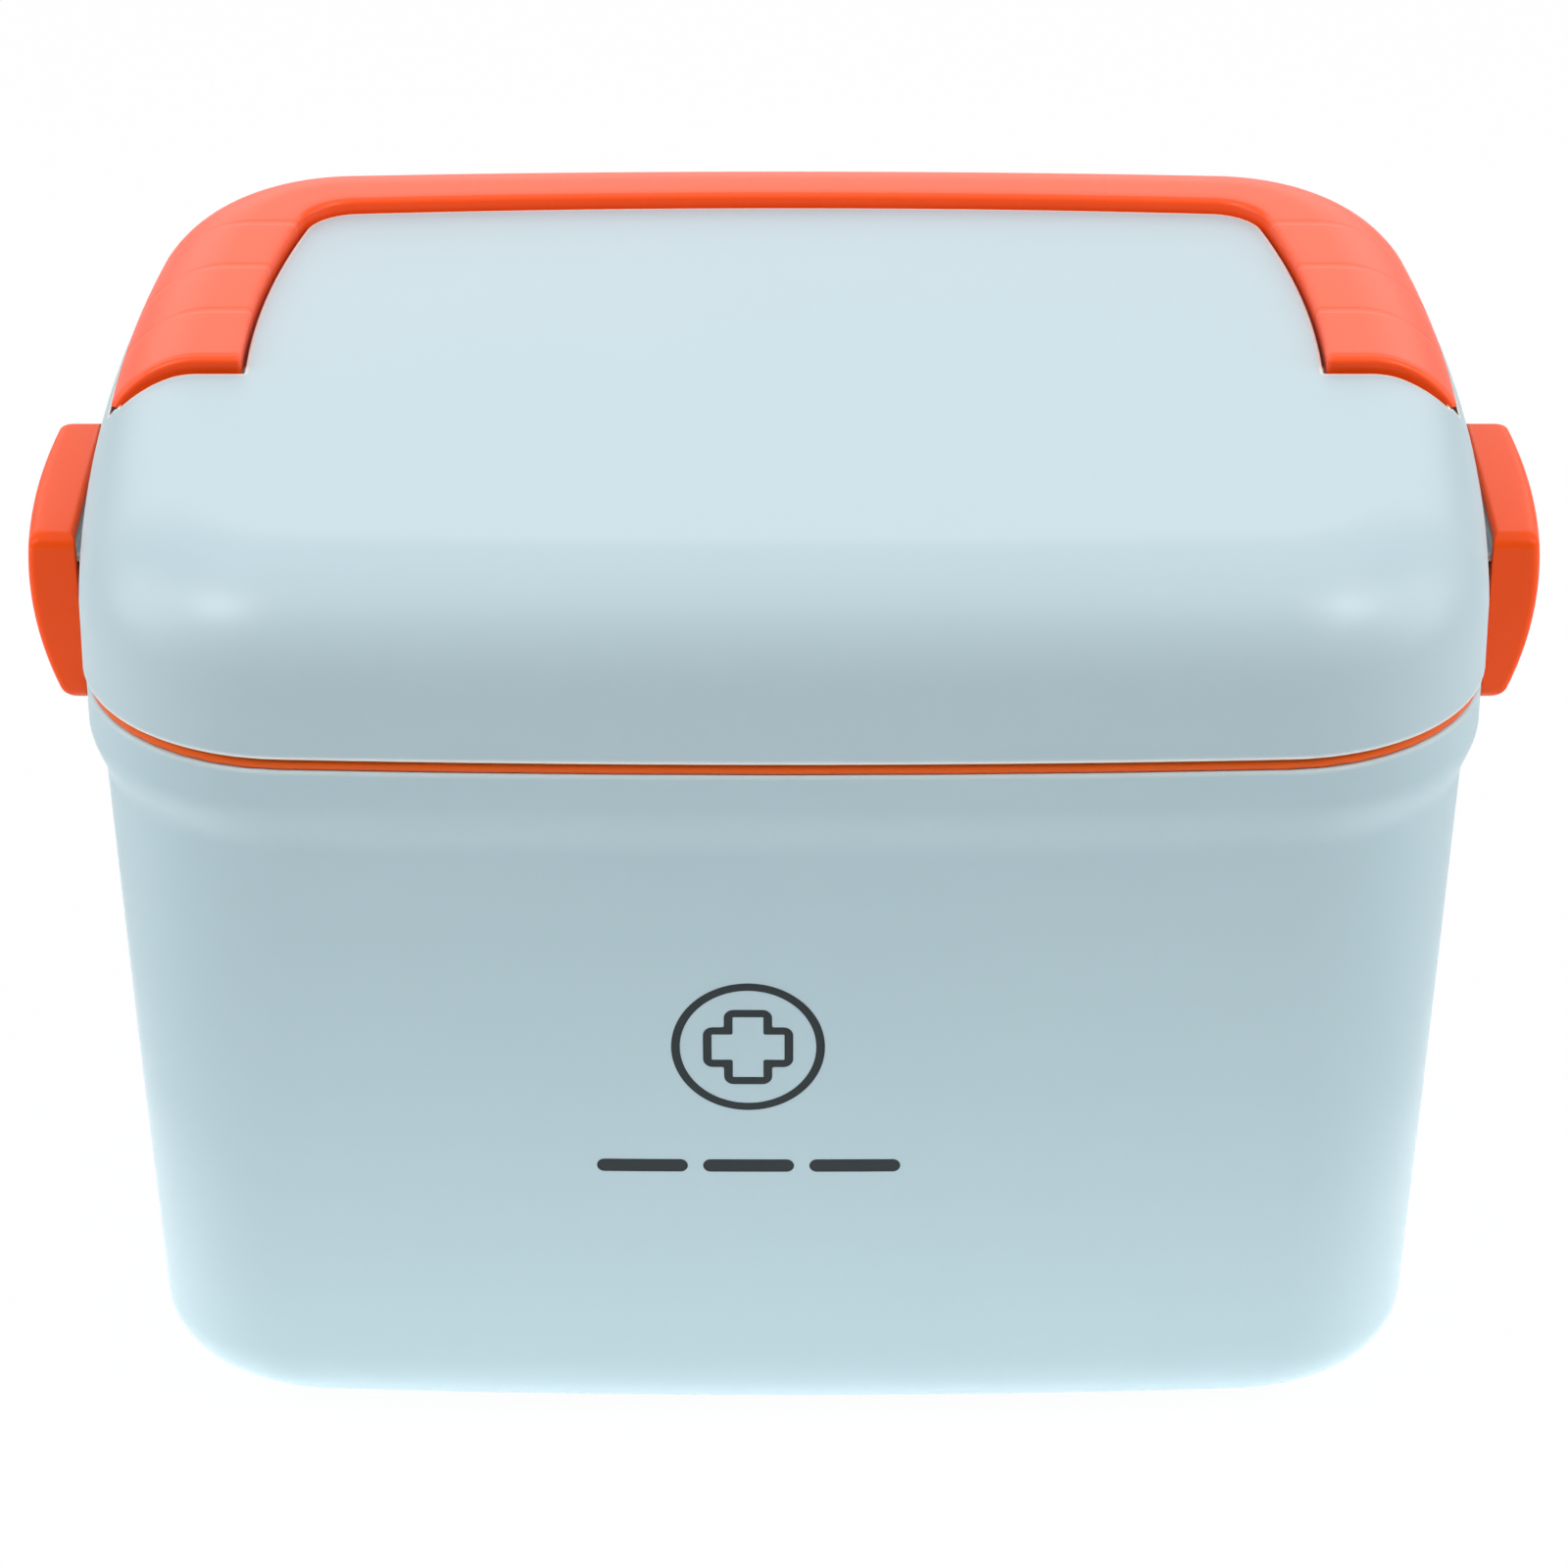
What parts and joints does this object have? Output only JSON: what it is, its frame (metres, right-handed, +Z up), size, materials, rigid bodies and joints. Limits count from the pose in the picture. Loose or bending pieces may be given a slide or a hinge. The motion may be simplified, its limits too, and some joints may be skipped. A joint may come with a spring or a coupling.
{
  "type": "medicine case",
  "caption": "Tapered household medicine case with a lift-out inner tray, a lift-off lid, a fold-down carrying handle and a latch on each short side.",
  "frame": {"origin": "middle of the underside, on the surface that the case stands on", "axes": "+Z up, +X to the right along the long side, -Y towards the front"},
  "size_m": [0.3062, 0.2086, 0.201],
  "materials": {
    "case_plastic": "satin",
    "orange_plastic": "satin",
    "pin_steel": "drawn"
  },
  "bodies": {
    "base": {"base_box": "case_plastic"},
    "tray": {"inner_tray": "orange_plastic"},
    "lid": {"lid": "case_plastic", "handle_pin_left": "pin_steel", "handle_pin_right": "pin_steel", "latch_pin_left": "pin_steel", "latch_pin_right": "pin_steel"},
    "handle": {"handle": "orange_plastic"},
    "latch_left": {"latch_left": "orange_plastic"},
    "latch_right": {"latch_right": "orange_plastic"}
  },
  "joints": [
    {"name": "lid_lift", "type": "slide", "parent": "base", "child": "lid", "axis": [0, 0, 1], "range_m": [0, 0.15]},
    {"name": "tray_lift", "type": "slide", "parent": "base", "child": "tray", "axis": [0, 0, 1], "range_m": [0, 0.075]},
    {"name": "handle_swing", "type": "hinge", "parent": "lid", "child": "handle", "pos_m": [0, 0, 0.1928], "axis": [1, 0, 0], "range_deg": [0, 90]},
    {"name": "latch_left_swing", "type": "hinge", "parent": "lid", "child": "latch_left", "pos_m": [-0.1445, 0, 0.1663], "axis": [0, 1, 0], "range_deg": [0, 60]},
    {"name": "latch_right_swing", "type": "hinge", "parent": "lid", "child": "latch_right", "pos_m": [0.1445, 0, 0.1663], "axis": [0, -1, 0], "range_deg": [0, 60]}
  ],
  "couplings": [
    {"joint": "tray_lift", "follows": "lid_lift", "ratio": 0.5}
  ]
}
